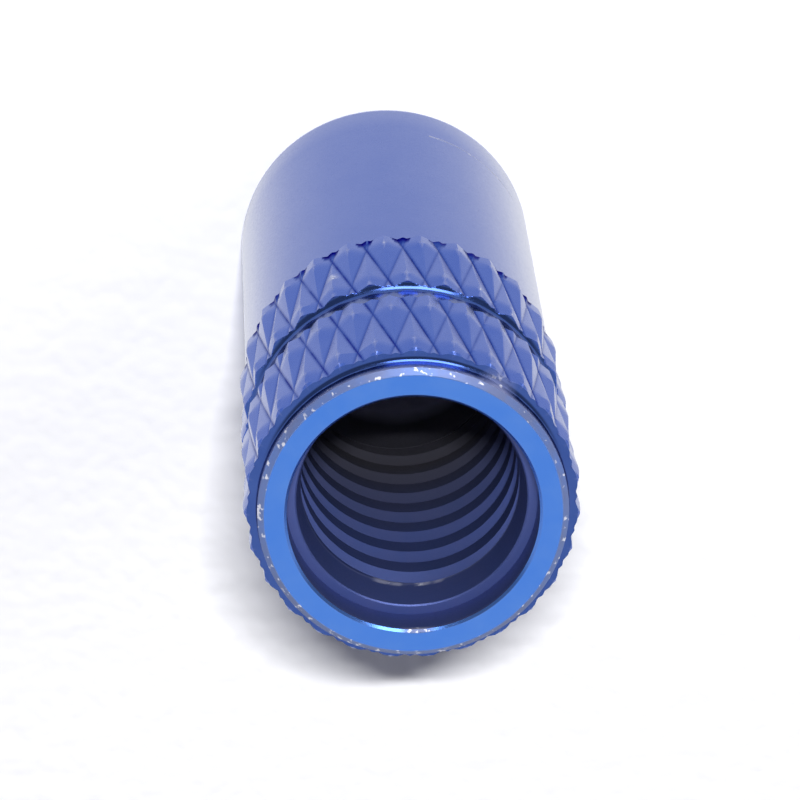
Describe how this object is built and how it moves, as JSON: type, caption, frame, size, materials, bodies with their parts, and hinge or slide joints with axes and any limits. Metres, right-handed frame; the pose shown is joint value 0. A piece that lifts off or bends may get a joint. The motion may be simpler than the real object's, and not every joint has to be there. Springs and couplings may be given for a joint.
{
  "type": "tyre valve cap",
  "caption": "Long screw-on dust cap for a narrow bicycle tyre valve, turned from blue anodised aluminium, with a crossed knurl grip, a rounded closed end and a threaded bore.",
  "frame": {"origin": "centre of the closed end's flat face, on the axis of the cap", "axes": "+Z along the axis, out of the threaded mouth; -Y through a crossing of two knurl grooves on the band near the mouth"},
  "size_m": [0.007, 0.007, 0.0164],
  "materials": {
    "anodised_blue": "blue anodised, turned satin outside, bright on the cut faces"
  },
  "bodies": {
    "root": {"valve_cap": "anodised_blue"}
  },
  "joints": []
}
